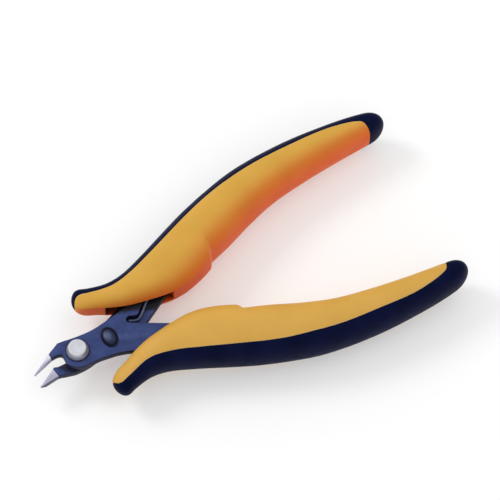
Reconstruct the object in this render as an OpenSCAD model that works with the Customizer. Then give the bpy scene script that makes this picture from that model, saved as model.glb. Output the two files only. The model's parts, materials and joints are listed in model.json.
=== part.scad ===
// Diagonal cutting pliers: a bypass shear head, a riveted pivot and two moulded grips.
// They lie flat. +X runs from the jaws to the grip tails, +Y to the upper grip, +Z up.
// The origin is the centre of the footprint, on the surface that the pliers lie on.
// Both halves are drawn at rest, held open by the wire spring against the stop stud.
// Every outline is drawn about the pivot, on the parting plane between the two levers.

/* [Levers] */
// Distance from the parting plane to the outer face of each lever
outer_z = 2.7; // [2.4:0.1:2.8]
// Running gap between the two levers
lever_gap = 0.1; // [0.06:0.02:0.16]
// Angle that the upper handle turns through from rest to closed jaws
closing_angle = 12; // [9:0.5:12]
// Angle of the front cutting edge to the long axis
jaw_angle = 19; // [18.5:0.5:19.5]
// Distance from the parting plane to the outer face of the front jaw at its tip
tip_z = 1.1; // [0.8:0.1:1.6]

/* [Pivot and stop] */
// Radius of the pivot rivet's shank
rivet_r = 2; // [1.6:0.1:2.4]
// Radius of the rivet head at its base
rivet_head_r = 3.5; // [3.2:0.1:3.7]
// Height of the rivet head above its washer
rivet_head_h = 2.4; // [2:0.1:3]
// Radius of both pivot washers
washer_r = 3.9; // [3.8:0.1:4.2]
// Thickness of each washer
washer_t = 0.3; // [0.2:0.05:0.5]
// Radial clearance of the shank in the rear lever
pivot_clearance = 0.04; // [0.02:0.01:0.08]
// Radius of the stop stud's shank
stud_r = 1.5; // [1.2:0.1:1.7]
// Distance from the pivot to the stop stud
stud_reach = 11; // [10.5:0.1:11.2]

/* [Return spring] */
// Diameter of the spring wire
wire_d = 1; // [0.7:0.1:1.1]

/* [Grips] */
// Height of the parting plane above the surface, which sets the flat under each grip
rest_height = 10.7; // [10.6:0.05:10.9]
// Squareness of the cross-section on the finger side, where 2 is an ellipse
finger_squareness = 2.5; // [2.2:0.1:3]
// Squareness of the cross-section on the palm side
palm_squareness = 2.2; // [2:0.1:2.5]
// Half the height of the moving slot in the grip's inner wall
mouth_half = 2.95; // [2.9:0.05:3.2]

/* [Hidden] */

nose_x = 5.3;           // front end of both grips
tail_x = 124.2;         // back end of both grips
jaw_x = -15.6;          // tip of the front jaw
stud_angle = -2.2;      // bearing of the stop stud from the pivot
stud_at = stud_reach * [cos(stud_angle), sin(stud_angle), 0];
step_x = 52;            // where the finger guard ends
ground_x = -8.6;        // back end of the ground face on the front jaw
grind_step = 0.35;      // height of the shoulder behind that face
edge_length = 7.25;     // length of the front cutting edge
jaw_tip = [-15.45, -1.1];   // front end of the front cutting edge
rear_edge = [[-15.92, -1.32], [-8.77, 1.05]];   // the rear cutting edge, with the jaws closed
rear_bevel = [[-14.2, outer_z], [-16.1, 0.7]];  // bevel on the outside of the rear jaw's tip, in side view
face = lever_gap / 2;   // distance from the parting plane to each lever's inner face
rear_washer_z = -outer_z - 0.1 - washer_t;  // outer face of both rear washers
stud_washer_r = 2.9;
stud_peen_h = 0.7;      // height of the stud's riveted end
tang_hole_at = [[50, 18.7], [72, 26.3]];    // holes in the upper tang, filled by the moulding
tang_hole_r = 1.6;
wire_z = outer_z / 2 + face;    // height of the spring's centre line
wire_sides = 12;        // sides of the spring wire's cross-section
ring_n = 28;            // points in each cross-section of a grip
guard_blunt = 0.15;     // depth that the flat wall of the finger guard takes off the section
nose_r = 4.7;           // length of the round end at a grip's nose
tail_r = 5.8;           // length of the round end at a grip's tail
over = 1;               // how far a cutting tool runs past a surface
round_fn = 64;          // segments of a round face
pivot_at = [-(tail_x + jaw_x) / 2, 0, rest_height];

// Grip outlines in plan, upper grip: [x, y]
outer_edge = [[5.3, 19.9], [8, 19.8], [12, 18.3], [18, 16.9], [24, 17.6], [32, 20.6], [41, 24.5], [50, 28.2],
    [60, 31.5], [70, 34.1], [80, 35.4], [92, 35.9], [104, 35.4], [114, 34.4], [124.2, 32.5]];
guard_edge = [[5.3, 10.8], [8, 11.3], [11, 10.6], [15, 8.7], [20, 6.9], [25, 5.8], [31, 4.9], [36, 4.5],
    [41, 5], [47, 6.8], [52, 9]];
finger_edge = [[52, 10.4], [60, 13.2], [70, 17.3], [80, 20.6], [92, 22.8], [106, 24.5], [124.2, 26]];
// Half the grip's height along its length: [x, half height]
half_height = [[5.3, 4.7], [11, 5.2], [18, 7.1], [26, 8.7], [35, 9.9], [45, 10.7], [56, 10.95], [66, 10.9],
    [78, 10.2], [92, 9.6], [104, 9], [114, 8.4], [124.2, 7.4]];
// Seam between the core and the cover, from the nose to the tail
seam = [[4.4, 12.9], [5.35, 14], [5.8, 15], [6.7, 16.1], [8.3, 16.45], [11, 15.7], [18.5, 13.95], [26, 15.2],
    [35, 18.5], [49, 24.1], [58, 27.3], [66, 29.3], [78, 31.3], [92, 32], [103, 32.1], [111, 31],
    [115.1, 29.75], [116.4, 28.9], [117.1, 27.4], [118, 24.2], [118.6, 20]];

// Half a lever from its throat round the head to the end of its tang, drawn for the front lever
head_round = [[-5, -2.2], [-4.5, -3.3], [-2.6, -5], [0, -5.75], [4.9, -5.75], [8.3, -6.1], [11.5, -6.6],
    [16, -8], [22, -10.6]];
tang_outer = [[30, -13.8], [38, -17], [47, -20.8], [56, -24.3], [66, -27.4], [76, -29.5], [83, -30.2]];
tang_end = [[85.2, -29.6], [85.2, -27.9]];
tang_inner = [[83, -26.9], [76, -25.6], [66, -22.4], [56, -18.2], [46, -13.2], [38, -9]];
// Edge between the handles, straight from the crotch to the grip
crotch = [[30.5, -4.7]];
// Top edge of the front lever, from the tongue beside the spring to the back of the jaw
tongue = [[19.6, 3.5], [21.3, 2.75], [22.4, 2.8], [23.4, 3.6], [25.6, 5.9]];
tongue_top = [[24.6, 6.4], [21.5, 6.9], [18.2, 6.4], [15.4, 5.7], [11, 4.9], [7.6, 4.4], [4.7, 4.3],
    [0.9, 4.5], [-2.3, 4.9]];
jaw_back = [[-4.7, 5.1], [-8.4, 3.15], [-12, 1.2], [-15.6, -0.8]];
throat = [[-6.9, 1.45], [-5.7, 1.3], [-5.1, 0.8], [-4.8, 0.1], [-4.85, -0.9]];

// The rear lever's own jaw and head
rear_jaw_back = [[15.4, -6], [11, -5.1], [7.6, -4.6], [4.7, -4.6], [0.9, -5.3], [-3, -5.4], [-5.5, -4.9],
    [-7.1, -4.5], [-8.8, -4.15], [-12.1, -4.55], [-15.3, -5.1]];
rear_throat = [[-7.6, -1.2], [-4.6, -1.2]];
rear_head = [[-4.6, 2.6], [-2.6, 4.6], [0, 5.2], [4.9, 5.1], [8.3, 5.2], [11.5, 5.8], [16, 7.6], [22, 10.5]];
rear_crotch = [[31.8, 4.7], [20, -2.4]];

// Route of the return spring in plan, from the notch in the front lever to its end in the upper grip
wire_route = [[19.2, 2.3], [22.3, 1.7], [27, 6.1], [31, 10.4], [36, 13.2], [46, 17.2], [56, 21.6]];
// Slot in the inner wall of each grip, where the levers and the spring go in
mouth = [[14.1, 0], [14.1, 9.6], [15.6, 11.4], [19, 12.2], [33, 12.2], [36, 9.5], [36, 0]];

// ---- Curves ----

// Cubic through b and c, with the neighbours a and d setting its slope, at a share t of the way
function blend(a, b, c, d, t) =
    let (in_slope = (c - a) / 2, out_slope = (d - b) / 2)
    b * (2 * pow(t, 3) - 3 * t * t + 1) + in_slope * (pow(t, 3) - 2 * t * t + t)
    + c * (3 * t * t - 2 * pow(t, 3)) + out_slope * (pow(t, 3) - t * t);

// A smooth curve through the listed points, in the given number of steps between two of them
function smooth(p, steps = 5) = [
    for (i = [0:len(p) - 2], k = [0:steps - 1])
        blend(p[max(i - 1, 0)], p[i], p[i + 1], p[min(i + 2, len(p) - 1)], k / steps),
    p[len(p) - 1]
];

// Slope of a curve y(x) at its point i
function slope(p, i) =
    let (a = p[max(i - 1, 0)], b = p[min(i + 1, len(p) - 1)])
    (b.y - a.y) / (b.x - a.x);

// The last point of the curve that isn't past x
function before(p, x, i = 0) = (i >= len(p) - 2 || x < p[i + 1].x) ? i : before(p, x, i + 1);

// Height of a smooth curve y(x) at x
function at(p, x) =
    let (i = before(p, x), w = p[i + 1].x - p[i].x, t = (x - p[i].x) / w)
    p[i].y * (2 * pow(t, 3) - 3 * t * t + 1) + slope(p, i) * w * (pow(t, 3) - 2 * t * t + t)
    + p[i + 1].y * (3 * t * t - 2 * pow(t, 3)) + slope(p, i + 1) * w * (pow(t, 3) - t * t);

function flip(p) = [for (q = p) [q.x, -q.y]];
function turned(p, a) = [for (q = p) [q.x * cos(a) - q.y * sin(a), q.x * sin(a) + q.y * cos(a)]];
function signed_pow(v, e) = sign(v) * pow(abs(v), e);

// ---- Levers ----

// A flat plate from z = low to z = high
module plate(outline, low, high) {
    translate([0, 0, low]) linear_extrude(high - low) polygon(outline);
}

// The tang from a head's outer edge round its end and back to the crotch
function tang_round(head, crotch_line) =
    concat(smooth(concat(head, tang_outer)), tang_end, smooth(tang_inner), crotch_line);
function front_handle() = tang_round(head_round, crotch);
function rear_handle() = flip(tang_round(flip(rear_head), flip(rear_crotch)));

// The round end of the notch that the spring's front end lies in
function slot_end(centre, r) = [for (a = [-120:-35:-225]) centre + r * [cos(a), sin(a)]];

// The heel of the front cutting edge
function edge_heel() = jaw_tip + edge_length * [cos(jaw_angle), sin(jaw_angle)];

function front_outline() = concat(
    [jaw_tip, edge_heel()], throat, front_handle(), slot_end([19.2, 2.35], 1.05), smooth(tongue, 4),
    smooth(tongue_top, 4), jaw_back
);

function rear_outline() = concat(
    turned(rear_edge, closing_angle), rear_throat, rear_handle(), smooth(rear_jaw_back, 4)
);

// Cutter for the outside of a jaw, from its profile of [x, height above the parting plane], back end first
module jaw_grind(profile) {
    tip = profile[len(profile) - 1];
    rotate([90, 0, 0]) linear_extrude(height = 40, center = true)
        polygon(concat([[profile[0].x, outer_z + over]], profile, [[tip.x - over, tip.y],
            [tip.x - over, outer_z + over]]));
}

module front_lever() {
    color("slategray") translate(pivot_at) difference() {
        plate(front_outline(), face, outer_z);
        jaw_grind([[ground_x, outer_z - grind_step], [jaw_x, tip_z]]);
        translate([0, 0, -over]) cylinder(h = outer_z + 2 * over, r = rivet_r, $fn = round_fn);
        translate([stud_at.x, stud_at.y, -over]) cylinder(h = outer_z + 2 * over, r = stud_r, $fn = round_fn);
        tang_holes(-1, face - over, outer_z + over);
    }
}

module rear_lever() {
    color("slategray") translate(pivot_at) difference() {
        plate(rear_outline(), -outer_z, -face);
        rotate(closing_angle) mirror([0, 0, 1]) jaw_grind(rear_bevel);
        translate([0, 0, -outer_z - over])
            cylinder(h = outer_z + 2 * over, r = rivet_r + pivot_clearance, $fn = round_fn);
        stud_slot();
        tang_holes(1, -outer_z - over, over);
    }
}

// Holes in a tang that the moulding flows through, side 1 for the upper grip and -1 for the lower
module tang_holes(side, low, high) {
    for (p = tang_hole_at)
        translate([p.x, side * p.y, low]) cylinder(h = high - low, r = tang_hole_r, $fn = 32);
}

// Points of an arc about the pivot, or about a centre
function arc(r, from, to, steps, centre = [0, 0]) =
    [for (i = [0:steps]) let (a = from + (to - from) * i / steps) centre + r * [cos(a), sin(a)]];

// Curved slot that the stop stud travels in
module stud_slot() {
    slot_r = stud_r + 0.1;
    end = stud_angle + closing_angle;
    end_at = stud_reach * [cos(end), sin(end)];
    start_at = [stud_at.x, stud_at.y];
    plate(concat(
        arc(stud_reach + slot_r, stud_angle, end, 6),
        arc(slot_r, end + 15, end + 165, 10, end_at),
        arc(stud_reach - slot_r, end, stud_angle, 6),
        arc(slot_r, stud_angle + 195, stud_angle + 345, 10, start_at)
    ), -outer_z - over, over);
}

// ---- Pivot and stop ----

module washer(r, bore_r, low, thick) {
    translate([0, 0, low]) difference() {
        cylinder(h = thick, r = r, $fn = round_fn);
        translate([0, 0, -over]) cylinder(h = thick + 2 * over, r = bore_r, $fn = round_fn);
    }
}

module pivot_rivet() {
    tail_h = 1.1;
    color("gainsboro") translate(pivot_at) rotate_extrude($fn = round_fn) polygon([
        [0, rear_washer_z - tail_h],
        [2.7, rear_washer_z - tail_h],
        [3.2, rear_washer_z - 0.4],
        [3.2, rear_washer_z],
        [rivet_r, rear_washer_z],
        [rivet_r, outer_z + washer_t],
        [rivet_head_r, outer_z + washer_t],
        [rivet_head_r * 0.8, outer_z + washer_t + rivet_head_h],
        [0, outer_z + washer_t + rivet_head_h]
    ]);
}

module front_pivot_washer() {
    color("dimgray") translate(pivot_at) washer(washer_r, rivet_r, outer_z, washer_t);
}

module rear_pivot_washer() {
    color("dimgray") translate(pivot_at) washer(washer_r, rivet_r, rear_washer_z, washer_t);
}

// Oval outline, wide along Y
function oval(half_x, half_y) = [for (a = [0:10:350]) [half_x * cos(a), half_y * sin(a)]];

module stop_stud() {
    color("darkslategray") translate(pivot_at) translate(stud_at) {
        translate([0, 0, rear_washer_z]) cylinder(h = outer_z - rear_washer_z, r = stud_r, $fn = round_fn);
        translate([0, 0, rear_washer_z - stud_peen_h])
            cylinder(h = stud_peen_h, r1 = 1.7, r2 = 2.2, $fn = round_fn);
        translate([0, 0, outer_z]) linear_extrude(0.5) polygon(oval(2.6, 3.65));
        translate([0, 0, outer_z + 0.5]) linear_extrude(0.5) polygon(oval(2.1, 3));
    }
}

module stop_stud_washer() {
    color("dimgray") translate(pivot_at) translate(stud_at)
        washer(stud_washer_r, stud_r, rear_washer_z, washer_t);
}

// ---- Return spring ----

// Rings of points square to the wire's route, joined into one tube
module wire_tube(route) {
    last = len(route) - 1;
    rings = [for (i = [0:last])
        let (
            ahead = route[min(i + 1, last)] - route[max(i - 1, 0)],
            along = ahead / norm(ahead),
            out = cross(along, [0, 0, 1]) / norm(cross(along, [0, 0, 1])),
            up = cross(out, along)
        )
        [for (k = [0:wire_sides - 1])
            let (a = 360 * k / wire_sides)
            route[i] + wire_d / 2 * (cos(a) * out + sin(a) * up)]];
    sides = [for (i = [0:last - 1], k = [0:wire_sides - 1])
        let (a = i * wire_sides + k, b = i * wire_sides + (k + 1) % wire_sides)
        each [[a, b, b + wire_sides], [a, b + wire_sides, a + wire_sides]]];
    first_cap = [for (k = [wire_sides - 1:-1:0]) k];
    last_cap = [for (k = [0:wire_sides - 1]) last * wire_sides + k];
    polyhedron([for (r = rings) each r], concat(sides, [first_cap, last_cap]));
}

module return_spring() {
    color("silver") translate(pivot_at)
        wire_tube([for (p = smooth(wire_route, 4)) [p.x, p.y, wire_z]]);
}

// ---- Grips ----

// How much of its full size the grip has at x: it closes to a round end at the nose and the tail
function end_round(x) =
    x < nose_x + nose_r ? sqrt(max(0, 1 - pow((nose_x + nose_r - x) / nose_r, 2)))
    : x > tail_x - tail_r ? pow(max(0, 1 - pow((x - tail_x + tail_r) / tail_r, 2.2)), 0.45)
    : 1;

function inner_y(x) = x < step_x ? at(guard_edge, x) : at(finger_edge, x);

// Cross-section of the upper grip at x, as a ring of points
function section(x) =
    let (
        share = max(end_round(x), 0.12),
        outer = at(outer_edge, x),
        inner = inner_y(x),
        mid = (outer + inner) / 2,
        half = (outer - inner) / 2 * share,
        wide = x < step_x ? half + guard_blunt * share : half,
        high = at(half_height, x) * share
    )
    [for (k = [0:ring_n - 1])
        let (
            a = 360 * (k + 0.5) / ring_n,
            e = 2 / (cos(a) > 0 ? palm_squareness : finger_squareness)
        )
        [x, max(mid + (cos(a) > 0 ? half : wide) * signed_pow(cos(a), e), mid - half),
            high * signed_pow(sin(a), e)]];

// Stations close up towards both ends and at the step
stations = concat(
    [for (a = [8:16:88]) nose_x + nose_r * (1 - cos(a))],
    [for (x = [12:4:48]) x],
    [step_x - 0.2, step_x + 0.2],
    [for (x = [56:5:116]) x],
    [for (a = [14:15:89]) tail_x - tail_r * (1 - sin(a))]
);

module grip_body() {
    last = len(stations) - 1;
    points = [for (x = stations) each section(x)];
    sides = [for (i = [0:last - 1], k = [0:ring_n - 1])
        let (a = i * ring_n + k, b = i * ring_n + (k + 1) % ring_n)
        each [[b + ring_n, b, a], [a + ring_n, b + ring_n, a]]];
    nose_cap = [for (k = [0:ring_n - 1]) k];
    tail_cap = [for (k = [ring_n - 1:-1:0]) last * ring_n + k];
    difference() {
        polyhedron(points, concat(sides, [nose_cap, tail_cap]));
        translate([0, -over, -rest_height - 5]) cube([tail_x + 10, 60, 5]);
    }
}

// Everything on the inner side of the seam
module core_side() {
    translate([0, 0, -20]) linear_extrude(40) polygon(concat(smooth(seam, 4), [[118.9, -5], [7, -5]]));
}

module grip_core_at_pivot(side) {
    difference() {
        intersection() {
            grip_body();
            core_side();
        }
        plate(mouth, -mouth_half, mouth_half);
        tang_pocket(side);
    }
}

// Room for a lever's tang, closed round it, with the moulding's pegs left in its holes.
// The lower grip is the upper one mirrored, so its tang comes to lie above the parting plane.
module tang_pocket(side) {
    low = side > 0 ? -outer_z : face;
    high = side > 0 ? -face : outer_z;
    difference() {
        plate(side > 0 ? rear_handle() : flip(front_handle()), low, high);
        tang_holes(1, low - over, high + over);
    }
    if (side > 0) spring_channel();
}

module spring_channel() {
    route = smooth(wire_route, 3);
    half = wire_d / 2 + 0.02;
    for (i = [6:len(route) - 2])
        translate([route[i].x, route[i].y, wire_z])
            rotate([0, 0, atan2(route[i + 1].y - route[i].y, route[i + 1].x - route[i].x)])
                translate([-half, -half, -half])
                    cube([norm(route[i + 1] - route[i]) + 2 * half, 2 * half, 2 * half]);
}

module grip_cover_at_pivot() {
    difference() {
        grip_body();
        core_side();
    }
}

module upper_grip_core() {
    color("orange") translate(pivot_at) grip_core_at_pivot(1);
}

module upper_grip_cover() {
    color("midnightblue") translate(pivot_at) grip_cover_at_pivot();
}

module lower_grip_core() {
    color("orange") translate(pivot_at) mirror([0, 1, 0]) grip_core_at_pivot(-1);
}

module lower_grip_cover() {
    color("midnightblue") translate(pivot_at) mirror([0, 1, 0]) grip_cover_at_pivot();
}

front_lever();
rear_lever();
pivot_rivet();
front_pivot_washer();
rear_pivot_washer();
stop_stud();
stop_stud_washer();
return_spring();
upper_grip_core();
upper_grip_cover();
lower_grip_core();
lower_grip_cover();
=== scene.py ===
"""Looks of the diagonal cutting pliers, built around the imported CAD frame.

Shapes are drawn in millimetres about the pivot, as the CAD is, and placed in the row frame in metres.
"""

import json
import math

import bmesh
import bpy
import numpy as np
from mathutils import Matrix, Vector


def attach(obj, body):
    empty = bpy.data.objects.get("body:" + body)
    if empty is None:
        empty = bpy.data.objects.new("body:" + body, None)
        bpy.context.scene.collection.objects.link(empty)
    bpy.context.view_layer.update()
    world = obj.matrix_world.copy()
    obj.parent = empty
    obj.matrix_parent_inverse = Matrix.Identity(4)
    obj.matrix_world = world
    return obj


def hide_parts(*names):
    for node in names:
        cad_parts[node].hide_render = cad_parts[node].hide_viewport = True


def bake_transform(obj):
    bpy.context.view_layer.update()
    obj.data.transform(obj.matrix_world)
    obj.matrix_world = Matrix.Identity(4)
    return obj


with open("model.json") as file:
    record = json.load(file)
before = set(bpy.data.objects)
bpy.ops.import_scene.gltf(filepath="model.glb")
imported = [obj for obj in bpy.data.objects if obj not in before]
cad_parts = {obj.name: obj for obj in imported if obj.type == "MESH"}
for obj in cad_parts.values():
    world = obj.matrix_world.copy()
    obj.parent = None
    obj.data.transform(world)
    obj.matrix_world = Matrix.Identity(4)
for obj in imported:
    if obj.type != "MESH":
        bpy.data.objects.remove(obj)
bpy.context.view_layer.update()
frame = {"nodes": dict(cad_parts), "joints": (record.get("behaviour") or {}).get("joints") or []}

MM = 0.001
PIVOT = np.array(frame["joints"][0]["pos_m"])
LOWER = "lower_handle"
UPPER = "upper_handle"

# ---- Shared sizes, in mm from the pivot ----

OUTER_Z = 2.7           # outer face of each lever
WASHER_T = 0.3
REAR_GAP = 0.1          # between the rear lever and the washers behind it
REAR_WASHER_Z = -OUTER_Z - REAR_GAP - WASHER_T
RIVET_R = 2.0
RIVET_HEAD_R = 3.5
RIVET_HEAD_H = 2.4
RIVET_TAIL_R = 3.2
RIVET_TAIL_H = 1.1
PIVOT_WASHER_R = 3.9
STUD_WASHER_BORE = 1.5
STUD_WASHER_R = 2.9
GROUND_X = -8.6         # back end of the ground face on the front jaw
REAR_GROUND_X = -9.41   # the same on the rear jaw, with the jaws closed
CLOSING = math.radians(12)
STUD_AT = (10.992, -0.422)
STUD_HALF_X = 2.6       # half widths of the stud's oval head
STUD_HALF_Y = 3.65
REST_Z = -PIVOT[2] / MM  # the surface that the grips lie on

NOSE_X = 5.3
TAIL_X = 124.2
NOSE_R = 4.7
TAIL_R = 5.8
PALM_SQUARE = 2.2
FINGER_SQUARE = 2.5
WALL_HALF = 2.9         # half the height of the guard's flat inner wall
MOUTH_X = (14.1, 36.0)  # ends of the slot in that wall

OUTER_EDGE = [(5.3, 19.9), (8, 19.8), (12, 18.3), (18, 16.9), (24, 17.6), (32, 20.6), (41, 24.5), (50, 28.2),
              (60, 31.5), (70, 34.1), (80, 35.4), (92, 35.9), (104, 35.4), (114, 34.4), (124.2, 32.5)]
GUARD_EDGE = [(5.3, 10.8), (8, 11.3), (11, 10.6), (15, 8.7), (20, 6.9), (25, 5.8), (31, 4.9), (36, 4.5),
              (41, 5), (47, 6.8), (52, 9)]
FINGER_EDGE = [(52, 10.4), (60, 13.2), (70, 17.3), (80, 20.6), (92, 22.8), (106, 24.5), (124.2, 26)]
HALF_HEIGHT = [(5.3, 4.7), (11, 5.2), (18, 7.1), (26, 8.7), (35, 9.9), (45, 10.7), (56, 10.95), (66, 10.9),
               (78, 10.2), (92, 9.6), (104, 9), (114, 8.4), (124.2, 7.4)]
SEAM = [(4.4, 12.9), (5.35, 14), (5.8, 15), (6.7, 16.1), (8.3, 16.45), (11, 15.7), (18.5, 13.95), (26, 15.2),
        (35, 18.5), (49, 24.1), (58, 27.3), (66, 29.3), (78, 31.3), (92, 32), (103, 32.1), (111, 31),
        (115.1, 29.75), (116.4, 28.9), (117.1, 27.4), (118, 24.2), (118.6, 20)]
SEAM_NOSE_CORNER = SEAM[3]
SEAM_TAIL_CORNER = SEAM[17]
MOUTH_BACK = [(14.1, 9.6), (15.6, 11.4), (19, 12.2), (33, 12.2), (36, 9.5)]
WIRE_ROUTE = [(19.2, 2.3), (22.3, 1.7), (27, 6.1), (31, 10.4), (36, 13.2), (46, 17.2), (56, 21.6)]
WIRE_Z = 1.4
WIRE_R = 0.5


# ---- Curves ----

def through(points, x):
    """Height at x of the smooth curve y(x) through the points."""
    p = np.array(points, float)
    x = np.asarray(x, float)
    slope = np.gradient(p[:, 1], p[:, 0])
    slope[1:-1] = (p[2:, 1] - p[:-2, 1]) / (p[2:, 0] - p[:-2, 0])
    i = np.clip(np.searchsorted(p[:, 0], x, side="right") - 1, 0, len(p) - 2)
    w = p[i + 1, 0] - p[i, 0]
    t = (x - p[i, 0]) / w
    return (p[i, 1] * (2 * t ** 3 - 3 * t * t + 1) + slope[i] * w * (t ** 3 - 2 * t * t + t)
            + p[i + 1, 1] * (3 * t * t - 2 * t ** 3) + slope[i + 1] * w * (t ** 3 - t * t))


def smooth(points, steps):
    """A smooth open curve through the listed points."""
    p = np.array(points, float)
    ends = np.vstack([p[:1], p, p[-1:]])
    out = []
    for i in range(1, len(ends) - 2):
        a, b, c, d = ends[i - 1:i + 3]
        for t in np.arange(steps) / steps:
            out.append(b * (2 * t ** 3 - 3 * t * t + 1) + (c - a) / 2 * (t ** 3 - 2 * t * t + t)
                       + c * (3 * t * t - 2 * t ** 3) + (d - b) / 2 * (t ** 3 - t * t))
    out.append(p[-1])
    return np.array(out)


def lengths(points):
    """Running length along a polyline."""
    return np.concatenate([[0], np.cumsum(np.linalg.norm(np.diff(points, axis=0), axis=1))])


def along(points, share):
    """Points at the given shares of a polyline's length."""
    run = lengths(points)
    at = np.asarray(share) * run[-1]
    return np.stack([np.interp(at, run, points[:, k]) for k in range(points.shape[1])], axis=-1)


# ---- Grip body ----

INNER_SMOOTH = GUARD_EDGE[:-2] + [(50, 8.7)] + FINGER_EDGE[1:]
STEP_FROM, STEP_TO = 51.1, 52.6     # where the finger guard drops to the grip behind it
STEP_POWER = 1.7
GUARD_TO, FINGER_FROM = 53, 52      # each inner edge is held level past its own end
TAIL_POWER, TAIL_ROOT = 2.2, 0.45   # squareness of the rounded tail
MIDDLE_X = 60                       # the nose is rounded before it and the tail after it
WALL_SHARE = 0.55                   # most of the half height that the flat wall takes
TINY = 1e-9


def step_share(x):
    """0 on the finger guard and 1 past the step at its end."""
    t = np.clip((x - STEP_FROM) / (STEP_TO - STEP_FROM), 0, 1)
    return t ** STEP_POWER


def end_round(x):
    """Share of the full width and height that the rounded nose and tail leave at x."""
    nose = np.sqrt(np.clip(1 - np.clip((NOSE_X + NOSE_R - x) / NOSE_R, 0, 1) ** 2, 0, 1))
    tail = np.clip(1 - np.clip((x - TAIL_X + TAIL_R) / TAIL_R, 0, 1) ** TAIL_POWER, 0, 1) ** TAIL_ROOT
    return np.where(x < MIDDLE_X, nose, tail)


def section(x):
    """Middle, outer and inner half widths, and half height of the grip at x."""
    outer = through(OUTER_EDGE, x)
    mid = (outer + through(INNER_SMOOTH, x)) / 2
    w = step_share(x)
    guard = through(GUARD_EDGE, np.minimum(x, GUARD_TO))
    finger = through(FINGER_EDGE, np.maximum(x, FINGER_FROM))
    inner = guard + (finger - guard) * w
    share = end_round(x)
    return mid, (outer - mid) * share, (mid - inner) * share, through(HALF_HEIGHT, x) * share


def wall_half(high):
    """Half height of the flat inner wall where the grip's half height is high."""
    return np.minimum(WALL_HALF, WALL_SHARE * high)


def top_height(x, y):
    """Height of the grip's top face above the parting plane at (x, y)."""
    mid, palm, finger, high = section(x)
    high = np.maximum(high, TINY)
    full = (1 - (wall_half(high) / high) ** FINGER_SQUARE) ** (1 / FINGER_SQUARE)
    w = step_share(x)
    finger = finger * (w + (1 - w) / full)
    out = np.clip((y - mid) / np.maximum(palm, TINY), 0, 1)
    inn = np.clip((mid - y) / np.maximum(finger, TINY), 0, 1)
    return np.where(y > mid, high * (1 - out ** PALM_SQUARE) ** (1 / PALM_SQUARE),
                    high * (1 - inn ** FINGER_SQUARE) ** (1 / FINGER_SQUARE))


def silhouette(xs, side):
    """The grip's plan edge over xs: the palm side for side 1, the finger side for -1."""
    mid, palm, finger, _ = section(xs)
    return np.stack([xs, mid + palm if side > 0 else mid - finger], axis=-1)


def crossing(curve, side):
    """Index and point where a plan curve crosses the grip's inner edge.

    The first crossing for side -1, and the last one for side 1.
    """
    mid, _, finger, _ = section(curve[:, 0])
    gap = curve[:, 1] - (mid - finger)
    i = np.nonzero(gap[:-1] * gap[1:] < 0)[0]
    i = i[0] if side < 0 else i[-1]
    t = gap[i] / (gap[i] - gap[i + 1])
    return i, curve[i] + t * (curve[i + 1] - curve[i])


seam_full = smooth(SEAM, 24)
first_i, NOSE_CROSS = crossing(seam_full, -1)
last_i, TAIL_CROSS = crossing(seam_full, 1)
seam_line = np.vstack([[NOSE_CROSS], seam_full[first_i + 1:last_i + 1], [TAIL_CROSS]])
NOSE_CORNER = int(np.argmin(np.linalg.norm(seam_line - np.array(SEAM_NOSE_CORNER), axis=1)))
TAIL_CORNER = int(np.argmin(np.linalg.norm(seam_line - np.array(SEAM_TAIL_CORNER), axis=1)))
NOSE_STATION, TAIL_STATION = 12.0, 107.0

GROOVE_R = 0.36
EDGE_ROWS = np.array([0, 0.03, 0.09, 0.17, 0.26, 0.36, 0.55])   # distances from the seam, in mm
SHORT_ROW = 1.2     # a polyline shorter than this has its close rows squeezed


def rows_along(poly, count):
    """A 3-D polyline resampled: close rows at its start, for the rounded seam edge, then even ones."""
    run = lengths(poly)
    total = run[-1]
    near = EDGE_ROWS
    if total < SHORT_ROW:
        near = np.minimum(EDGE_ROWS, total * 0.5 * EDGE_ROWS / EDGE_ROWS[-1])
    rest = np.linspace(near[-1], total, count + 1)[1:]
    at = np.concatenate([near, rest])
    return np.stack([np.interp(at, run, poly[:, k]) for k in range(3)], axis=-1)


def lifted(plan):
    """A plan line raised on to the grip's top face."""
    return np.column_stack([plan, top_height(plan[:, 0], plan[:, 1])])


def spaced(a, b, step):
    """Even positions from a to b, about a step apart."""
    return np.linspace(a, b, max(2, int(abs(b - a) / step) + 1))


def regular_stations():
    """Station positions along the grip where the cross-sections are square to X."""
    margin = 0.3
    fine, medium, coarse = 0.11, 0.6, 0.8
    marks = [NOSE_STATION, MOUTH_X[0], MOUTH_X[0] + margin, MOUTH_X[1] - margin, MOUTH_X[1],
             MOUTH_X[1] + margin, STEP_FROM - medium]
    xs = [spaced(a, b, medium)[:-1] for a, b in zip(marks[:-1], marks[1:])]
    xs.append(spaced(STEP_FROM - medium, STEP_TO + margin, fine)[:-1])
    xs.append(spaced(STEP_TO + margin, TAIL_STATION, coarse))
    return np.concatenate(xs)


def seam_y(xs):
    """Height in plan of the seam's long side at xs."""
    low, high = NOSE_CORNER, TAIL_CORNER
    return np.interp(xs, seam_line[low:high + 1, 0], seam_line[low:high + 1, 1])


def seam_part(a, b):
    """The seam's long side from x = a to the tail's corner, or from the nose's corner to x = b.

    Only one of a and b is given, and the other is None.
    """
    long_side = seam_line[NOSE_CORNER:TAIL_CORNER + 1]
    if a is not None:
        keep = long_side[long_side[:, 0] > a]
        return np.vstack([[[a, seam_y(a)]], keep])
    keep = long_side[long_side[:, 0] < b]
    return np.vstack([keep, [[b, seam_y(b)]]])


CROSS_POINTS = 160      # points along a plan line across the grip
END_SHARES = np.concatenate([[0, 0.006, 0.018, 0.035, 0.055, 0.08], np.linspace(0.12, 1, 16)])


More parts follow.
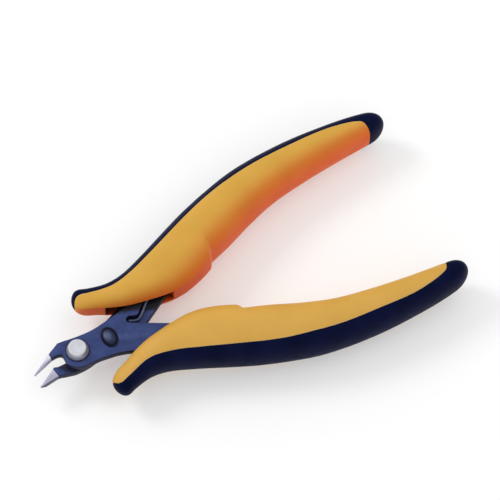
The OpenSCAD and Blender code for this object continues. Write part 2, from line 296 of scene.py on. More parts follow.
def core_transversals():
    """Plan lines across the core, each from the seam to the finger side."""
    t = (np.linspace(0, 1, CROSS_POINTS)[::-1] ** 2)[:, None]
    lines = []

    def fan(seam_side, inner_side, end_curve, shares, flip):
        edge_s = along(seam_side, shares)
        edge_i = along(inner_side, shares)
        end = along(end_curve, t[:, 0])
        straight = end[-1] * (1 - t) + end[0] * t
        out = []
        for share, s, i in zip(shares, edge_s, edge_i):
            bend = (1 - share) ** 1.5
            out.append(i * (1 - t) + s * t + bend * (end - straight))
        return out[::-1] if flip else out

    nose_edge = silhouette(np.linspace(NOSE_CROSS[0], NOSE_STATION, 200), -1)
    nose_seam = seam_part(None, NOSE_STATION)
    lines += fan(nose_seam, nose_edge, seam_line[:NOSE_CORNER + 1], END_SHARES[:-1], False)
    for x in regular_stations():
        s = np.array([x, float(seam_y(x))])
        i = silhouette(np.array([x]), -1)[0]
        lines.append(i * (1 - t) + s * t)
    tail_edge = silhouette(np.linspace(TAIL_CROSS[0], TAIL_STATION, 300), -1)
    tail_seam = seam_part(TAIL_STATION, None)[::-1]
    lines += fan(tail_seam, tail_edge, seam_line[:TAIL_CORNER - 1:-1], END_SHARES[:-1], True)
    return lines


WALL_ROWS = np.array([0.5, 0.0, -0.5])      # rows on the flat wall, as shares of its half height


def core_rings(count=30):
    """Rings of points: from the seam over the top, down the inner wall and back under."""
    rings = []
    for plan in core_transversals():
        line = lifted(plan)
        wall = float(wall_half(line[:, 2].max()))
        at = np.interp(wall, line[::-1, 2], np.arange(len(line))[::-1])
        cut = int(math.floor(at))
        edge = np.array([np.interp(at, np.arange(len(line)), line[:, k]) for k in range(3)])
        edge[2] = wall
        top = rows_along(np.vstack([line[:cut + 1], [edge]]), count)
        rows = []
        for k in WALL_ROWS:
            z = abs(k) * wall
            at_z = np.interp(z, line[::-1, 2], np.arange(len(line))[::-1])
            rows.append([np.interp(at_z, np.arange(len(line)), line[:, 0]),
                         np.interp(at_z, np.arange(len(line)), line[:, 1]), k * wall])
        under = top[::-1] * np.array([1, 1, -1])
        rings.append(np.vstack([top, rows, under]))
    return np.array(rings)


def cover_transversals():
    """Plan lines across the cover, each from the seam to the palm side."""
    t = 1 - (np.linspace(1, 0, CROSS_POINTS) ** 2)[:, None]
    lines = []
    nose_seam = np.vstack([seam_line[:NOSE_CORNER], seam_part(None, NOSE_STATION)])
    tip_x = NOSE_X + (1 - np.cos(np.linspace(0, math.pi / 2, 120))) * (NOSE_STATION - NOSE_X)
    inner = silhouette(np.linspace(NOSE_X, NOSE_CROSS[0], 80), -1)[::-1]
    nose_edge = np.vstack([inner, silhouette(tip_x, 1)])
    shares = np.concatenate([[0, 0.02, 0.05, 0.09], np.linspace(0.13, 1, 34)])
    ends = zip(along(nose_seam, shares[:-1]), along(nose_edge, shares[:-1]))
    lines += [s * (1 - t) + o * t for s, o in ends]
    for x in regular_stations():
        s = np.array([x, float(seam_y(x))])
        o = silhouette(np.array([x]), 1)[0]
        lines.append(s * (1 - t) + o * t)
    tail_seam = np.vstack([seam_part(TAIL_STATION, None), seam_line[TAIL_CORNER + 1:]])
    tip_x = TAIL_X - (1 - np.sin(np.linspace(0, math.pi / 2, 160))) * (TAIL_X - TAIL_STATION)
    inner = silhouette(TAIL_X - (TAIL_X - TAIL_CROSS[0]) * (1 - np.cos(np.linspace(0, math.pi / 2, 80))), -1)
    tail_edge = np.vstack([silhouette(tip_x, 1), inner[1:]])
    shares = np.concatenate([np.linspace(0, 0.87, 44), [0.91, 0.95, 0.98, 1]])[1:]
    lines += [s * (1 - t) + o * t for s, o in zip(along(tail_seam, shares), along(tail_edge, shares))]
    return lines


def cover_rings(count=22):
    """Rings of points: from the seam over the top, round the palm side and back under."""
    rings = []
    for plan in cover_transversals():
        line = lifted(plan)
        if line[-1, 2] > 1e-3:
            line = np.vstack([line, [[line[-1, 0], line[-1, 1], 0]]])
        line[-1, 2] = 0
        top = rows_along(line, count)
        rings.append(np.vstack([top, top[-2::-1] * np.array([1, 1, -1])]))
    return np.array(rings)


def seam_points():
    """Close points along the whole closed seam, on the top and mirrored underneath."""
    top = lifted(seam_line)
    wall = [[*seam_line[0], z] for z in np.linspace(0, top[0, 2], 12)[:-1]]
    tail = [[*seam_line[-1], z] for z in np.linspace(top[-1, 2], 0, 12)[1:]]
    upper = np.vstack([wall, top, tail])
    run = lengths(upper)
    fine = along(upper, np.linspace(0, 1, int(run[-1] / 0.12)))
    return np.vstack([fine, fine * np.array([1, 1, -1])])


def surface_normals(rings):
    """Outward normals of a grid of rings, from the neighbouring points."""
    du = np.gradient(rings, axis=0)
    dv = np.gradient(rings, axis=1)
    n = np.cross(du, dv)
    size = np.linalg.norm(n, axis=2, keepdims=True)
    return n / np.maximum(size, 1e-12)


def round_seam_edge(rings, normals, radius):
    """Turns the surface down into a groove along the seam."""
    line = seam_points()
    flat = rings.reshape(-1, 3)
    best = np.full(len(flat), 1e9)
    near = flat[:, None, :]
    for k in range(0, len(line), 200):
        d = np.linalg.norm(near - line[None, k:k + 200], axis=2).min(axis=1)
        best = np.minimum(best, d)
    d = np.clip(best, 0, radius)
    drop = radius - np.sqrt(np.maximum(radius ** 2 - (radius - d) ** 2, 0))
    return (flat - normals.reshape(-1, 3) * drop[:, None]).reshape(rings.shape)


def object_from(name, bm, materials, sharp=math.radians(38)):
    """A new object from a bmesh drawn in mm about the pivot."""
    bmesh.ops.recalc_face_normals(bm, faces=bm.faces)
    for e in bm.edges:
        e.smooth = len(e.link_faces) == 2 and e.calc_face_angle() < sharp
    for f in bm.faces:
        f.smooth = True
    me = bpy.data.meshes.new(name)
    bm.to_mesh(me)
    bm.free()
    obj = bpy.data.objects.new(name, me)
    bpy.context.scene.collection.objects.link(obj)
    for m in materials:
        me.materials.append(m)
    return obj


def place(bm, side=1):
    """Moves a bmesh from mm about the pivot to metres in the row frame. Side -1 mirrors it in Y."""
    for v in bm.verts:
        x, y, z = v.co
        v.co = (x * MM + PIVOT[0], side * y * MM + PIVOT[1], z * MM + PIVOT[2])


def grid_faces(bm, verts, skip=None):
    """Quads over a grid of vertices, apart from the cells (i, j) that skip picks out."""
    for i in range(len(verts) - 1):
        for j in range(len(verts[0]) - 1):
            if skip and skip(i, j):
                continue
            quad = [verts[i][j], verts[i][j + 1], verts[i + 1][j + 1], verts[i + 1][j]]
            bm.faces.new(quad)


def close_seam(bm, first, last, top, under):
    """The hidden face along the seam, between the top and the underside edges."""
    bm.faces.new([top[0]] + first + [under[0], under[1], top[1]])
    for k in range(1, len(top) - 2):
        bm.faces.new([top[k], under[k], under[k + 1], top[k + 1]])
    bm.faces.new([top[-2], under[-2], under[-1]] + last[::-1] + [top[-1]])


def flat_bottom(points):
    """Cuts the grip flat at the surface it lies on."""
    points[..., 2] = np.maximum(points[..., 2], REST_Z)
    return points


SEAM_PAINTED_HIGHLIGHT = 0.35       # how far the painted light value drops beside the seam, which the material paints as a pale line: a painted highlight on the seam's rounded edge
TONE_X = (18, 48)       # between these x the power of the painted shade falls, so near the nose the painted shade is narrower
TONE_POWER = (2.8, 1.0)
# The lower grip keeps the crown's colour, with a faint painted highlight that fades towards its finger side.
LOWER_TONE_SHARE, LOWER_TONE_DROP = 0.08, 0.1
# values above 1 paint the inside of the slot dark: painted shade in the recess
SLOT_PAINTED_SHADE, SLOT_BACK_PAINTED_SHADE = 1.6, 2.0
RIM_WIDTH = 0.22


def grip_core(name, side, materials):
    """The hard orange moulding, with painted light stored on its vertices.

    On the upper grip the value is 0 on the crown and 1 on the finger side, where shade is painted. The lower
    grip keeps close to the crown's value all over. Both drop beside the seam for a painted highlight, and
    pass 1 in the slot for painted shade.
    """
    rings = core_rings()
    normals = surface_normals(rings)
    if normals[len(rings) // 2, 10, 2] < 0:
        normals = -normals
    # Painted shade: 0 where the surface faces up, rising to 1 where it faces -Y, turned from the light.
    painted_light = np.clip(np.arctan2(-normals[..., 1], normals[..., 2]) / (math.pi / 2), 0, 1)
    painted_light **= np.interp(rings[..., 0], TONE_X, TONE_POWER)
    if side < 0:
        painted_light = LOWER_TONE_SHARE * painted_light - LOWER_TONE_DROP
    # Painted highlight: the rows beside the seam are lowered, which the material paints pale.
    painted_light[:, 1:5] -= SEAM_PAINTED_HIGHLIGHT
    painted_light[:, -5:-1] -= SEAM_PAINTED_HIGHLIGHT
    points = flat_bottom(round_seam_edge(rings, normals, GROOVE_R))
    xs = rings[:, len(rings[0]) // 2, 0]
    bm = bmesh.new()
    shade = bm.verts.layers.float.new("painted_light")
    verts = []
    for ring, ring_painted_light in zip(points, painted_light):
        row = []
        for p, k in zip(ring, ring_painted_light):
            v = bm.verts.new(p)
            v[shade] = float(k)
            row.append(v)
        verts.append(row)
    count = len(verts[0])
    wall_top = (count - len(WALL_ROWS)) // 2 - 1
    wall_low = wall_top + len(WALL_ROWS) + 1
    first = int(np.argmin(abs(xs - MOUTH_X[0])))
    last = int(np.argmin(abs(xs - MOUTH_X[1])))

    def in_mouth(i, j):
        return first <= i < last and wall_top <= j < wall_low

    grid_faces(bm, verts, in_mouth)
    mouth_pocket(bm, verts, first, last, wall_top, wall_low, shade)
    ring0, ring1 = verts[0], verts[-1]
    mid = count // 2
    top = ring0[mid - 2:0:-1] + [r[0] for r in verts] + ring1[1:mid - 1]
    under = ring0[mid + 2:count - 1] + [r[-1] for r in verts] + ring1[count - 2:mid + 1:-1]
    close_seam(bm, ring0[mid - 1:mid + 2], ring1[mid - 1:mid + 2], top, under)
    crease = bm.edges.layers.float.new("bevel_weight_edge")
    for i in range(len(verts) - 1):
        if 2 < i and xs[i] < STEP_TO:
            for j in (wall_top, wall_low):
                edge = bm.edges.get((verts[i][j], verts[i + 1][j]))
                if edge:
                    edge[crease] = 1.0
    for i in (first, last):
        for j in range(wall_top, wall_low):
            bm.edges.get((verts[i][j], verts[i][j + 1]))[crease] = 1.0
    place(bm, side)
    obj = object_from(name, bm, materials)
    rim = obj.modifiers.new("rim", "BEVEL")
    rim.limit_method = "WEIGHT"
    rim.width = RIM_WIDTH * MM
    rim.segments = 3
    rim.use_clamp_overlap = False
    return obj


def mouth_pocket(bm, verts, first, last, wall_top, wall_low, shade):
    """The slot in the inner wall, with its own top, bottom, ends and back."""
    count = last - first
    zs = [verts[first + 1][j].co.z for j in range(wall_top, wall_low + 1)]
    back = []
    for i in range(first, last + 1):
        x = verts[i][wall_top].co.x
        y = float(np.interp(x, [p[0] for p in MOUTH_BACK], [p[1] for p in MOUTH_BACK]))
        back.append([bm.verts.new((x, y, z)) for z in zs])
    depth = 4
    for j, low in ((wall_top, 0), (wall_low, len(zs) - 1)):
        lines = []
        for k in range(count + 1):
            a, b = verts[first + k][j], back[k][low]
            between = [bm.verts.new(a.co.lerp(b.co, s / depth)) for s in range(1, depth)]
            lines.append([a] + between + [b])
        grid_faces(bm, lines)
        if low == 0:
            top_lines = lines
        else:
            low_lines = lines
    grid_faces(bm, back)
    for k in (0, count):
        ring = [verts[first + k][j] for j in range(wall_top, wall_low + 1)]
        loop = ring + low_lines[k][1:-1] + back[k][::-1] + top_lines[k][-2:0:-1]
        bm.faces.new(loop)
    # Painted shade: the slot's top, bottom and back take values above 1, which the material paints dark.
    for line in top_lines + low_lines:
        for v in line[1:]:
            v[shade] = SLOT_PAINTED_SHADE
    for line in back:
        for v in line:
            v[shade] = SLOT_BACK_PAINTED_SHADE


def grip_cover(name, side, materials):
    """The soft navy overmould."""
    rings = cover_rings()
    normals = surface_normals(rings)
    if normals[len(rings) // 2, 10, 2] < 0:
        normals = -normals
    points = flat_bottom(round_seam_edge(rings, normals, GROOVE_R * 0.8))
    bm = bmesh.new()
    verts = [[bm.verts.new(p) for p in ring] for ring in points]
    grid_faces(bm, verts)
    close_seam(bm, verts[0][1:-1], verts[-1][1:-1], [r[0] for r in verts], [r[-1] for r in verts])
    place(bm, side)
    return object_from(name, bm, materials)


# ---- Materials ----

class Shader:
    """A principled material and short ways to add nodes to it."""

    def __init__(self, name):
        self.mat = bpy.data.materials.new(name)
        self.mat.use_nodes = True
        self.tree = self.mat.node_tree
        self.bsdf = self.tree.nodes["Principled BSDF"]
        self.coords = self.tree.nodes.new("ShaderNodeTexCoord").outputs["Object"]

    def set(self, **values):
        for key, value in values.items():
            self.bsdf.inputs[key.replace("_", " ")].default_value = value

    def node(self, kind, **inputs):
        n = self.tree.nodes.new(kind)
        for key, value in inputs.items():
            self.feed(n.inputs[key.replace("_", " ")], value)
        return n

    def feed(self, socket, value):
        if isinstance(value, bpy.types.NodeSocket):
            self.tree.links.new(value, socket)
        else:
            socket.default_value = value

    def stretched(self, scale):
        return self.node("ShaderNodeMapping", Vector=self.coords, Scale=scale).outputs["Vector"]

    def noise(self, scale, detail=3.0, rough=0.5, vector=None):
        n = self.node("ShaderNodeTexNoise", Scale=scale, Detail=detail, Roughness=rough)
        self.feed(n.inputs["Vector"], vector if vector is not None else self.coords)
        return n.outputs["Fac"]

    def ramp(self, fac, low, high, to_low=0.0, to_high=1.0):
        n = self.node("ShaderNodeMapRange")
        for key, value in (("Value", fac), ("From Min", low), ("From Max", high), ("To Min", to_low),
                           ("To Max", to_high)):
            self.feed(n.inputs[key], value)
        return n.outputs["Result"]

    def mix(self, fac, a, b):
        n = self.tree.nodes.new("ShaderNodeMix")
        n.data_type = "RGBA"
        self.feed(n.inputs["Factor"], fac)
        self.feed(n.inputs["A"], a)
        self.feed(n.inputs["B"], b)
        return n.outputs["Result"]

    def compute(self, operation, a, b):
        n = self.tree.nodes.new("ShaderNodeMath")
        n.operation = operation
        self.feed(n.inputs[0], a)
        self.feed(n.inputs[1], b)
        return n.outputs["Value"]

    def vectors(self, operation, *values):
        n = self.tree.nodes.new("ShaderNodeVectorMath")
        n.operation = operation
        for socket, value in zip(n.inputs, values):
            self.feed(socket, value)
        return n.outputs["Value" if operation == "LENGTH" else "Vector"]

    def bump(self, height, distance, strength=1.0, under=None):
        n = self.node("ShaderNodeBump", Height=height, Distance=distance, Strength=strength)
        if under is not None:
            self.feed(n.inputs["Normal"], under)
        return n.outputs["Normal"]

    def use(self, socket, value):
        self.feed(self.bsdf.inputs[socket], value)


def orange_plastic():
    s = Shader("orange_plastic")
    s.set(Subsurface_Weight=0.15, Subsurface_Radius=(1.0, 0.35, 0.1), Subsurface_Scale=0.002)
    s.set(Specular_IOR_Level=0.15)
    # Painted light read from the grip's vertices: the lit crown's colour turns to a redder, darker painted
    # shade on the finger side.
    painted_light = s.node("ShaderNodeAttribute")
    painted_light.attribute_name = "painted_light"
    cloud = s.ramp(s.noise(90, 2), 0.35, 0.65)
    lit_crown = s.mix(cloud, (0.60, 0.330, 0.050, 1), (0.63, 0.350, 0.058, 1))
    shaded_side = s.mix(cloud, (0.71, 0.100, 0.009, 1), (0.74, 0.116, 0.012, 1))
    body = s.mix(s.ramp(painted_light.outputs["Fac"], 0.0, 1.0), lit_crown, shaded_side)
    # pale painted highlight beside the seam
    body = s.mix(s.ramp(painted_light.outputs["Fac"], -0.35, -0.05, 0.5, 0.0), body, (0.72, 0.52, 0.26, 1))
    # painted shade: dark inside the slot
    body = s.mix(s.ramp(painted_light.outputs["Fac"], 1.0, 1.8), body, (0.07, 0.008, 0.004, 1))
    specks = s.ramp(s.noise(1500, 2), 0.62, 0.75, 0, 0.10)
    s.use("Base Color", s.mix(specks, body, (0.45, 0.17, 0.02, 1)))
    s.use("Roughness", s.ramp(s.noise(260, 4), 0.3, 0.7, 0.42, 0.54))
    pores = s.bump(s.noise(2600, 3, 0.6), 0.00004, 0.35)
    s.use("Normal", s.bump(s.noise(160, 2), 0.0002, 0.12, pores))
    return s.mat


def navy_overmould():
    s = Shader("navy_overmould")
    s.set(Specular_IOR_Level=0.02)
    cloud = s.ramp(s.noise(120, 3), 0.3, 0.7)
    s.use("Base Color", s.mix(cloud, (0.0022, 0.0040, 0.022, 1), (0.0040, 0.0065, 0.034, 1)))
    s.use("Roughness", s.ramp(s.noise(300, 4), 0.3, 0.7, 0.36, 0.50))
    pores = s.bump(s.noise(2200, 3, 0.6), 0.00005, 0.4)
    s.use("Normal", s.bump(s.noise(180, 2), 0.0002, 0.1, pores))
    return s.mat


def slot_painted_shadow(s):
    """Painted shadow that the upper grip casts on the plates beside its slot, as a share from 0 to 1.

    The slot's mouth is at y = 4.5 + 4.2 * ((36 - x) / 21) squared, in mm from the pivot.
    """
    place_at = s.node("ShaderNodeSeparateXYZ", Vector=s.coords)
    reach = s.ramp(place_at.outputs["X"], PIVOT[0] + 15 * MM, PIVOT[0] + 36 * MM, 1.0, 0.0)
    edge = s.ramp(s.compute("MULTIPLY", reach, reach), 0.0, 1.0, 4.5 * MM, 8.7 * MM)
    below = s.compute("SUBTRACT", place_at.outputs["Y"], edge)
    ragged = s.ramp(s.noise(700, 3), 0.3, 0.7, -0.35 * MM, 0.35 * MM)
    near = s.ramp(s.compute("ADD", below, ragged), -2.8 * MM, -1.3 * MM)
    front = s.ramp(place_at.outputs["X"], PIVOT[0] + 11 * MM, PIVOT[0] + 14 * MM)
    return s.compute("MULTIPLY", near, front)


def head_painted_shade(s):
    """Painted shade on the rear lever in a ring round the pivot, beside the front lever's edge, as a share
    from 0 to 1.
    """
    reach = s.vectors("LENGTH", s.vectors("SUBTRACT", s.coords, tuple(PIVOT)))
    ragged = s.ramp(s.noise(600, 3), 0.3, 0.7, -0.5 * MM, 0.5 * MM)
    return s.ramp(s.compute("ADD", reach, ragged), 6.3 * MM, 8.2 * MM, 0.9, 0.0)


def blackened_steel(name, low, high, rough, worn, shaded_at_head=False):
    """Oxide-blackened steel, with shares of rubbed streaks and bare patches set by worn."""
    s = Shader(name)
    s.set(Metallic=0.35, Specular_IOR_Level=0.3)
    cloud = s.ramp(s.noise(200, 5, 0.6), 0.35, 0.68)
    body = s.mix(cloud, low, high)
    strokes = s.noise(1.0, 4, 0.6, s.stretched((500, 5200, 2000)))
    rubbed = s.ramp(strokes, 0.60, 0.78, 0, 0.25 * worn)
    body = s.mix(rubbed, body, (0.12, 0.15, 0.26, 1))
    bare = s.ramp(s.noise(900, 4, 0.6), 0.60, 0.72, 0, 0.20 * worn)
    body = s.mix(bare, body, (0.10, 0.13, 0.24, 1))
    # painted shade round the pivot, where the front lever's edge meets the rear plate
    if shaded_at_head:
        body = s.mix(head_painted_shade(s), body, (0.003, 0.004, 0.012, 1))
    # painted shadow of the upper grip, dark on the plates beside its slot
    s.use("Base Color", s.mix(slot_painted_shadow(s), body, (0.002, 0.003, 0.008, 1)))
    s.use("Roughness", s.ramp(s.noise(500, 4), 0.3, 0.7, *rough))
    grain = s.bump(s.noise(3200, 3, 0.6), 0.00003, 0.3)
    s.use("Normal", s.bump(strokes, 0.00003, 0.25, grain))
    return s.mat


def ground_steel(name, low, high):
    s = Shader(name)
    s.set(Metallic=1.0)
    lines = s.noise(1.0, 4, 0.6, s.stretched((9000, 900, 900)))
    cloud = s.ramp(s.noise(350, 3), 0.3, 0.7)
    s.use("Base Color", s.mix(cloud, low, high))
    s.use("Roughness", s.ramp(lines, 0.3, 0.7, 0.38, 0.54))
    s.use("Normal", s.bump(lines, 0.00003, 0.5))
    return s.mat


def turned_steel(name, base, centre, rough=(0.22, 0.34), metallic=1.0):
    """Turned round the vertical axis through centre, a point in metres."""
    s = Shader(name)
    s.set(Metallic=metallic)
    moved = s.node("ShaderNodeMapping", Vector=s.coords)
    moved.inputs["Location"].default_value = (-centre[0], -centre[1], 0)
    split = s.node("ShaderNodeSeparateXYZ", Vector=moved.outputs["Vector"])
    flat = s.node("ShaderNodeCombineXYZ", X=split.outputs["X"], Y=split.outputs["Y"])
    radius = s.vectors("LENGTH", flat.outputs["Vector"])
    rings_in = s.node("ShaderNodeCombineXYZ", X=radius, Z=split.outputs["Z"])
    rings = s.noise(5200, 3, 0.6, rings_in.outputs["Vector"])
    cloud = s.ramp(s.noise(500, 3), 0.3, 0.7)
    dark = tuple(0.86 * c for c in base) + (1,)
    s.use("Base Color", s.mix(cloud, dark, tuple(base) + (1,)))
    s.use("Roughness", s.ramp(rings, 0.3, 0.7, *rough))
    s.use("Normal", s.bump(rings, 0.00003, 0.4))
    return s.mat


def dome_painted_light(name, centre):
    """Blackened steel on the stud's oval head, with painted light: a painted highlight on the crown of its
    dome, set off towards the light, and painted shade round the dome's foot and the head's outer edge, with
    a dark navy band between.
    """
    s = Shader(name)
    s.set(Metallic=0.3, Specular_IOR_Level=0.25)

    def oval_reach(offset_x, offset_y):
        middle = (centre[0] + offset_x * MM, centre[1] + offset_y * MM, 0)
        per_half = (1 / (STUD_HALF_X * MM), 1 / (STUD_HALF_Y * MM), 0)
        return s.vectors("LENGTH", s.vectors("MULTIPLY", s.vectors("SUBTRACT", s.coords, middle), per_half))

    rim = oval_reach(0, 0)
    # painted highlight, centred off towards the light
    lit_crown = s.ramp(oval_reach(-0.35, 0.35), 0.10, 0.62)
    body = s.mix(lit_crown, (0.075, 0.100, 0.190, 1), (0.010, 0.014, 0.050, 1))
    # painted shade at the dome's foot, a dark navy band, and painted shade round the head's outer edge
    body = s.mix(s.ramp(rim, 0.62, 0.80), body, (0.002, 0.003, 0.008, 1))
    body = s.mix(s.ramp(rim, 0.86, 0.92), body, (0.012, 0.017, 0.055, 1))
    body = s.mix(s.ramp(rim, 0.93, 0.97), body, (0.002, 0.003, 0.009, 1))
    s.use("Base Color", body)
    s.use("Roughness", s.ramp(s.noise(900, 4), 0.3, 0.7, 0.30, 0.44))
    s.use("Normal", s.bump(s.noise(3600, 3, 0.6), 0.00002, 0.3))
    return s.mat


def spring_wire():
    s = Shader("spring_steel")
    s.set(Metallic=0.8)
    cloud = s.ramp(s.noise(600, 4), 0.3, 0.7)
    s.use("Base Color", s.mix(cloud, (0.050, 0.060, 0.120, 1), (0.095, 0.110, 0.190, 1)))
    s.use("Roughness", s.ramp(s.noise(900, 3), 0.3, 0.7, 0.24, 0.38))
    s.use("Normal", s.bump(s.noise(4000, 3), 0.00002, 0.4))
    return s.mat


# ---- Metal pieces ----

def lathe(name, profile, centre, materials, segments=96, scale=(1, 1), sharp=math.radians(38)):
    """A closed solid turned about the vertical axis through centre, from (r, z) points.

    A profile that starts off the axis is closed into a ring.
    """
    bm = bmesh.new()
    rings = []
    angles = [2 * math.pi * k / segments for k in range(segments)]
    on_axis = 1e-6
    for r, z in profile:
        if r < on_axis:
            rings.append([bm.verts.new((centre[0], centre[1], z))])
            continue
        rx, ry = scale[0] * r, scale[1] * r
        rings.append([bm.verts.new((centre[0] + rx * math.cos(a), centre[1] + ry * math.sin(a), z))
                      for a in angles])
    closed = profile[0][0] > on_axis
    pairs = list(zip(rings[:-1], rings[1:])) + ([(rings[-1], rings[0])] if closed else [])
    for a, b in pairs:
        for k in range(segments):
            n = (k + 1) % segments
            loop = ([a[0]] if len(a) == 1 else [a[k], a[n]]) + ([b[0]] if len(b) == 1 else [b[n], b[k]])
            bm.faces.new(loop)
    place(bm)
    return object_from(name, bm, materials, sharp)


def corner(x0, z0, x1, z1, steps=4, start=0):
    """Quarter-round points from (x0, z0) to (x1, z1). start 0 leaves along r, 1 leaves along z."""
    out = []
    for k in range(steps + 1):
        a = math.pi / 2 * k / steps
        u, v = (math.sin(a), 1 - math.cos(a)) if start == 0 else (1 - math.cos(a), math.sin(a))
        out.append((x0 + (x1 - x0) * u, z0 + (z1 - z0) * v))
    return out


def rivet_profile():
    base = OUTER_Z + WASHER_T
    top = base + RIVET_HEAD_H
    tail = REAR_WASHER_Z - RIVET_TAIL_H
    points = [(0, tail + 0.08), (1.9, tail)]
    points += corner(2.35, tail, 3.1, tail + 0.55, 5)
    points += [(RIVET_TAIL_R, REAR_WASHER_Z - 0.35), (RIVET_TAIL_R, REAR_WASHER_Z)]
    points += [(RIVET_R, REAR_WASHER_Z), (RIVET_R, base)]
    points += [(3.38, base)] + corner(3.42, base, RIVET_HEAD_R, base + 0.1, 3)
    points += [(2.86, top - 0.24)] + corner(2.845, top - 0.18, 2.66, top, 5, 1)
    points += [(2.3, top), (1.6, top - 0.03), (0.8, top - 0.045), (0, top - 0.05)]
    return points


def washer_profile(bore, radius, low, thick):
    c = 0.07    # chamfer
    top = low + thick
    return [(bore, low + c / 2), (bore + c, low), (radius - c, low), (radius, low + c), (radius, top - c),
            (radius - c, top), (bore + c, top), (bore, top - c / 2)]


def stud_profile():
    """Radii as shares of the head's half length along Y."""
    base = OUTER_Z
    points = [(0, REAR_WASHER_Z - 0.62), (0.35, REAR_WASHER_Z - 0.66)]
    points += [(0.50, REAR_WASHER_Z - 0.58), (0.575, REAR_WASHER_Z - 0.4), (0.55, REAR_WASHER_Z)]
    points += [(0.41, REAR_WASHER_Z), (0.41, base)]
    points += [(0.975, base), (1.0, base + 0.08), (0.995, base + 0.24), (0.965, base + 0.33)]
    points += [(0.93, base + 0.36)]
    points += [(0.895, base + 0.30), (0.865, base + 0.22), (0.835, base + 0.30)]
    for k in range(1, 13):
        a = math.pi / 2 * k / 12
        points.append((0.835 * math.cos(a), base + 0.30 + 0.7 * math.sin(a)))
    points[-1] = (0, base + 1.0)
    return points


def lever(name, node, materials, turn, ground_x, cutting_side):
    """The CAD lever with rounded edges and a ground jaw.

    The materials are those of the face, the punched side, the ground face and its outer side. The ground
    part starts at ground_x on an axis turned from X by turn. cutting_side is the sign of the cutting
    edge's outward Y.
    """
    source = frame["nodes"][node]
    bm = bmesh.new()
    bm.from_mesh(source.data)
    bm.transform(source.matrix_world)
    for v in bm.verts:
        v.co = tuple((np.array(v.co) - PIVOT) / MM)
    bmesh.ops.remove_doubles(bm, verts=bm.verts, dist=0.002)
    bmesh.ops.dissolve_limit(bm, angle_limit=math.radians(0.5), verts=bm.verts, edges=bm.edges)
    axis = Vector((math.cos(turn), math.sin(turn), 0))
    shadow_band, near = 0.2, 0.01      # a band in the dark side finish behind the ground part, a painted shadow of its shoulder, and a margin for choosing faces
    for start in (ground_x, ground_x + shadow_band):
        geometry = bm.verts[:] + bm.edges[:] + bm.faces[:]
        bmesh.ops.bisect_plane(bm, geom=geometry, dist=0.0001, plane_co=axis * start, plane_no=axis)
    sharp = [e for e in bm.edges if len(e.link_faces) == 2 and e.calc_face_angle() > math.radians(40)]
    bmesh.ops.bevel(bm, geom=sharp, offset=0.12, offset_type="OFFSET", segments=2, profile=0.5,
                    affect="EDGES", clamp_overlap=False, material=1)
    for f in bm.faces:
        reach = f.calc_center_median().dot(axis)
        flat = abs(f.normal.z) > 0.5
        if reach < ground_x - near:
            f.material_index = 2 if flat or f.normal.y * cutting_side > 0.3 else 3
        elif not flat or reach < ground_x + shadow_band - near:
            f.material_index = 1
    place(bm)
    return object_from(name, bm, materials, math.radians(32))


def wire(name, materials):
    """The return spring: round wire along its route, with a rounded front end."""
    flat = smooth(WIRE_ROUTE, 10)
    route = np.column_stack([flat, np.full(len(flat), WIRE_Z)])
    tangent = np.gradient(route, axis=0)
    tangent /= np.linalg.norm(tangent, axis=1, keepdims=True)
    up = np.array([0, 0, 1.0])
    sides = 20
    bm = bmesh.new()
    rings = []

    def ring(centre, t, r):
        out = np.cross(t, up)
        points = []
        for k in range(sides):
            a = 2 * math.pi * k / sides
            points.append(bm.verts.new(centre + r * (math.cos(a) * out + math.sin(a) * up)))
        return points

    for a in (12, 35, 60):
        angle = math.radians(a)
        rings.append(ring(route[0] + tangent[0] * WIRE_R * 0.6 * (1 - math.sin(angle)), tangent[0],
                          WIRE_R * math.sin(angle) ** 0.6))
    for p, t in zip(route[1:], tangent[1:]):
        rings.append(ring(p, t, WIRE_R))
    for a, b in zip(rings[:-1], rings[1:]):
        for k in range(sides):
            n = (k + 1) % sides
            bm.faces.new([a[k], a[n], b[n], b[k]])
    bm.faces.new(rings[0][::-1])
    bm.faces.new(rings[-1])
    place(bm)
    return object_from(name, bm, materials)


# ---- The pieces ----

orange = orange_plastic()
navy = navy_overmould()
STEEL_LOW, STEEL_HIGH = (0.022, 0.038, 0.135, 1), (0.036, 0.058, 0.185, 1)
steel = blackened_steel("blackened_steel", STEEL_LOW, STEEL_HIGH, (0.36, 0.50), 1.0)
# The rear plate takes painted shade round the pivot, beside the front lever's edge.
rear_steel = blackened_steel("blackened_steel_rear", STEEL_LOW, STEEL_HIGH, (0.36, 0.50), 1.0, True)
# The punched sides and edge bevels are darker than the faces: partly the rougher, more oxidised sheared
# steel, partly painted shade on walls turned from the light.
side_steel = blackened_steel("punched_side", (0.006, 0.008, 0.030, 1), (0.012, 0.016, 0.050, 1),
                             (0.50, 0.64), 0.2)
ground = ground_steel("ground_steel", (0.36, 0.36, 0.45, 1), (0.47, 0.47, 0.57, 1))
ground_side = ground_steel("ground_steel_side", (0.07, 0.07, 0.12, 1), (0.13, 0.13, 0.19, 1))
stud_centre = (PIVOT[0] + STUD_AT[0] * MM, PIVOT[1] + STUD_AT[1] * MM)
bright = turned_steel("bright_steel", (0.62, 0.62, 0.68), PIVOT, (0.40, 0.52), 0.75)
dark_pivot = turned_steel("dark_steel_pivot", (0.014, 0.020, 0.060), PIVOT, (0.36, 0.50), 0.4)
dark_stud = turned_steel("dark_steel_stud", (0.003, 0.004, 0.016), stud_centre, (0.40, 0.52), 0.3)
stud_painted_light = dome_painted_light("dark_steel_dome", stud_centre)


def add(piece, body, node):
    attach(piece, body)
    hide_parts(node)
    return piece


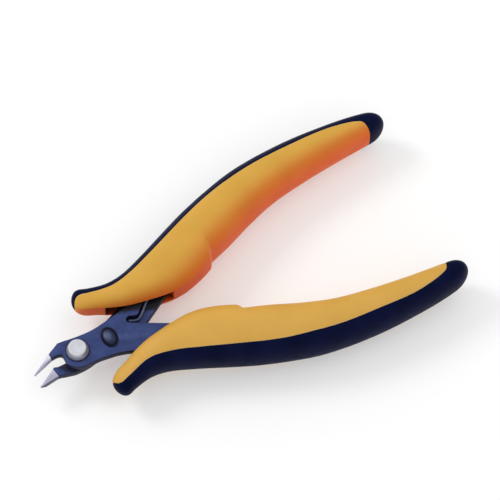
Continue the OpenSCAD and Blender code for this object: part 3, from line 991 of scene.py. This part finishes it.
front_finish = [steel, side_steel, ground, ground_side]
rear_finish = [rear_steel, side_steel, ground, ground_side]
add(lever("front_lever_plate", "front_lever", front_finish, 0, GROUND_X, -1),
    LOWER, "front_lever")
add(lever("rear_lever_plate", "rear_lever", rear_finish, CLOSING, REAR_GROUND_X, 1),
    UPPER, "rear_lever")
add(lathe("rivet", rivet_profile(), (0, 0), [bright]), LOWER, "pivot_rivet")
add(lathe("front_washer", washer_profile(RIVET_R, PIVOT_WASHER_R, OUTER_Z, WASHER_T), (0, 0), [dark_pivot]),
    LOWER, "front_pivot_washer")
add(lathe("rear_washer", washer_profile(RIVET_R, PIVOT_WASHER_R, REAR_WASHER_Z, WASHER_T), (0, 0),
          [dark_pivot]),
    LOWER, "rear_pivot_washer")
add(lathe("stud", stud_profile(), STUD_AT, [stud_painted_light], scale=(STUD_HALF_X, STUD_HALF_Y)),
    LOWER, "stop_stud")
add(lathe("stud_washer", washer_profile(STUD_WASHER_BORE, STUD_WASHER_R, REAR_WASHER_Z, WASHER_T),
          STUD_AT, [dark_stud]),
    LOWER, "stop_stud_washer")
add(grip_core("upper_core", 1, [orange]), UPPER, "upper_grip_core")
add(grip_cover("upper_cover", 1, [navy]), UPPER, "upper_grip_cover")
add(grip_core("lower_core", -1, [orange]), LOWER, "lower_grip_core")
add(grip_cover("lower_cover", -1, [navy]), LOWER, "lower_grip_cover")

spring = wire("spring_wire", [spring_wire()])


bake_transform(spring)
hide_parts("return_spring")

# ---- Stage, light and camera ----

floor_mesh = bpy.data.meshes.new("floor")
floor_half = 2.5
floor_corners = [(x * floor_half, y * floor_half, 0) for x, y in ((-1, -1), (1, -1), (1, 1), (-1, 1))]
floor_mesh.from_pydata(floor_corners, [], [(0, 1, 2, 3)])
floor = bpy.data.objects.new("floor", floor_mesh)
bpy.context.scene.collection.objects.link(floor)
pale = Shader("pale_floor")
pale.set(Base_Color=(0.68, 0.68, 0.68, 1), Roughness=0.9, Emission_Color=(1, 1, 1, 1), Emission_Strength=0.3)
floor_mesh.materials.append(pale.mat)


def area_light(name, place_at, aim, size, watts):
    data = bpy.data.lights.new(name, "AREA")
    data.shape = "DISK"
    data.size = size
    data.energy = watts
    lamp = bpy.data.objects.new(name, data)
    bpy.context.scene.collection.objects.link(lamp)
    lamp.location = place_at
    lamp.rotation_euler = (Vector(aim) - Vector(place_at)).to_track_quat("-Z", "Y").to_euler()


area_light("key", (-0.45, 0.62, 0.78), (0, 0, 0), 0.4, 3.4)
area_light("fill", (0.5, -0.1, 0.9), (0, 0, 0), 0.8, 1.0)

world = bpy.data.worlds.new("studio")
bpy.context.scene.world = world
world.use_nodes = True
world.node_tree.nodes["Background"].inputs["Color"].default_value = (1, 1, 1, 1)
world.node_tree.nodes["Background"].inputs["Strength"].default_value = 0.82
bpy.context.scene.view_settings.view_transform = "Standard"

camera_data = bpy.data.cameras.new("camera")
camera_data.lens = 217.5
camera_data.sensor_width = 36
camera = bpy.data.objects.new("camera", camera_data)
bpy.context.scene.collection.objects.link(camera)
target = Vector((0.01052, 0.00775, 0.0107))
back = Vector((-0.1806, -0.3611, 0.9149)).normalized()
distance = 0.9719
camera.location = target + back * distance
camera.rotation_euler = (-back).to_track_quat("-Z", "Y").to_euler()
bpy.context.scene.camera = camera
